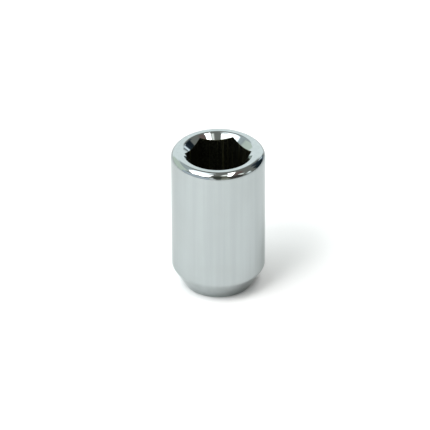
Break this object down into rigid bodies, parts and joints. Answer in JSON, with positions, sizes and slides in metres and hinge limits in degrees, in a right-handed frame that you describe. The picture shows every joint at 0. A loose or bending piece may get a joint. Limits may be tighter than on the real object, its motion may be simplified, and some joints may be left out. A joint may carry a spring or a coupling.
{
  "type": "lug nut",
  "caption": "Chromed barrel lug nut with a deep hexagon key socket in the rim end, a threaded bore right through and a tapered conical seat.",
  "frame": {"origin": "centre of the flat face at the seat end, on the bore's axis", "axes": "+Z along the bore from the seat end to the drive end; two corners of the hexagon socket lie on the X axis"},
  "size_m": [0.0208, 0.0208, 0.0336],
  "materials": {
    "chrome_plate": "bright decorative chrome plate on steel, with fine wiping marks"
  },
  "bodies": {
    "root": {"nut_body": "chrome_plate"}
  },
  "joints": []
}
